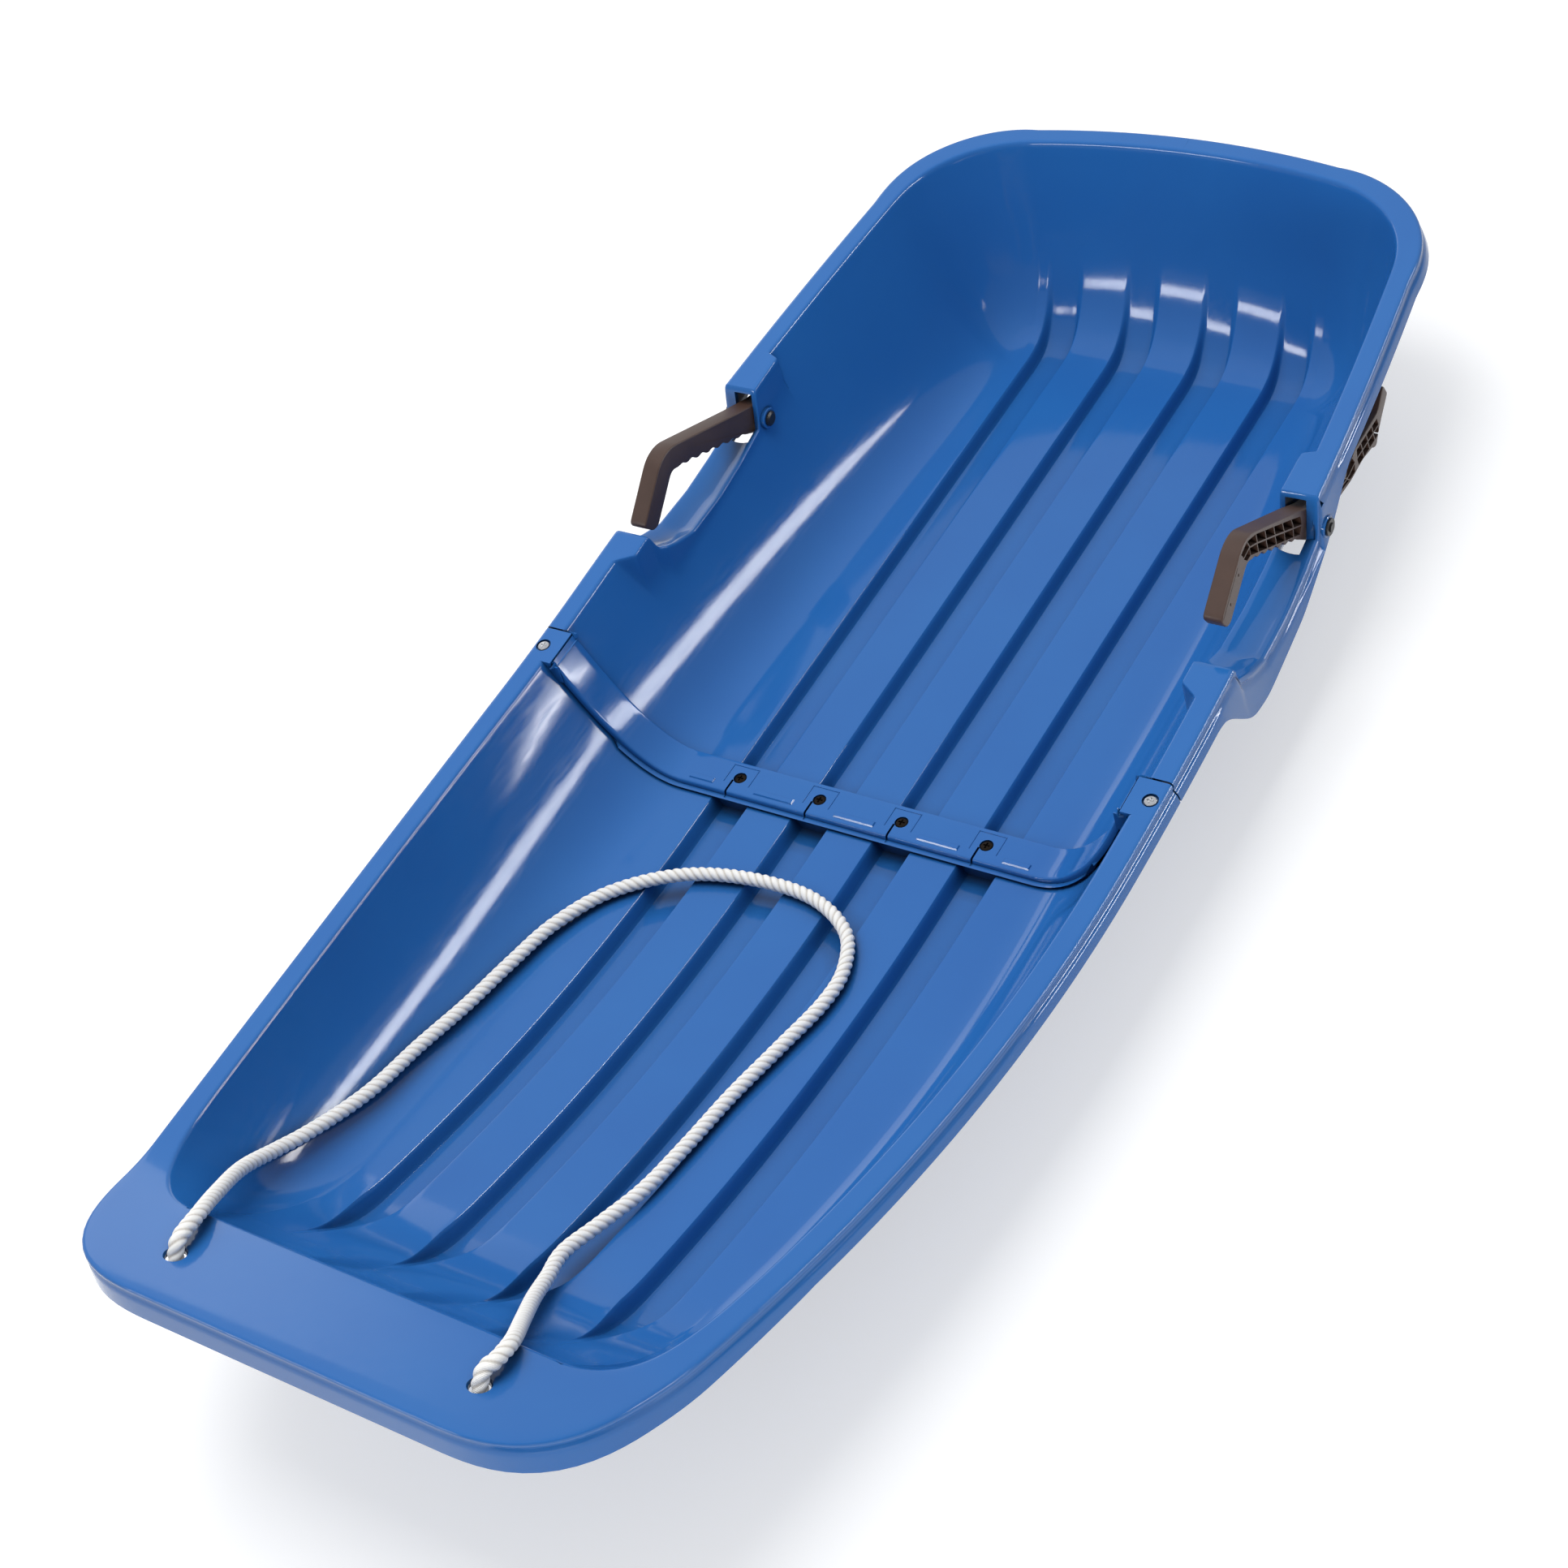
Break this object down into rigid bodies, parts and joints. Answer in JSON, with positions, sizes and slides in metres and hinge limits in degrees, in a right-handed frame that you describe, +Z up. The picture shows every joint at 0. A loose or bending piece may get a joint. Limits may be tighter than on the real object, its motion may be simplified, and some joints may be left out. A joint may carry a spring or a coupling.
{
  "type": "toboggan sled",
  "caption": "Moulded toboggan sled in a front and a rear tub joined by screws, with hinged brake levers in rim cut-outs and a knotted tow rope.",
  "frame": {"origin": "on the ground under the middle of the outline, seen from above", "axes": "+Y towards the rear, +Z up, +X to the right of someone who looks at the sled from the front"},
  "size_m": [0.4816, 1.1366, 0.1991],
  "materials": {
    "shell": "blow-moulded polyethylene, soft gloss",
    "lever": "moulded, fine satin grain",
    "pin": "moulded, satin",
    "floor_screw": "dark oxide with light wear",
    "rim_screw": "bright zinc plating",
    "zinc": "zinc plated",
    "rope": "twisted fibre, matt"
  },
  "bodies": {
    "sled": {"front_shell": "shell", "rear_shell": "shell", "brake_pin_left": "pin", "pin_retainer_left": "zinc", "rope_knot_left": "rope", "rim_screw_left": "rim_screw", "rim_nut_left": "zinc", "brake_pin_right": "pin", "pin_retainer_right": "zinc", "rope_knot_right": "rope", "rim_screw_right": "rim_screw", "rim_nut_right": "zinc", "floor_screw_1": "floor_screw", "floor_washer_1": "zinc", "floor_nut_1": "zinc", "floor_screw_2": "floor_screw", "floor_washer_2": "zinc", "floor_nut_2": "zinc", "floor_screw_3": "floor_screw", "floor_washer_3": "zinc", "floor_nut_3": "zinc", "floor_screw_4": "floor_screw", "floor_washer_4": "zinc", "floor_nut_4": "zinc", "tow_rope": "rope"},
    "left_lever": {"brake_lever_left": "lever"},
    "right_lever": {"brake_lever_right": "lever"}
  },
  "joints": [
    {"name": "left_brake", "type": "hinge", "parent": "sled", "child": "left_lever", "pos_m": [-0.21565, 0.2517, 0.1085], "axis": [-1, 0, 0], "range_deg": [0, 28]},
    {"name": "right_brake", "type": "hinge", "parent": "sled", "child": "right_lever", "pos_m": [0.21565, 0.2517, 0.1085], "axis": [-1, 0, 0], "range_deg": [-10.2, 17.8]}
  ]
}
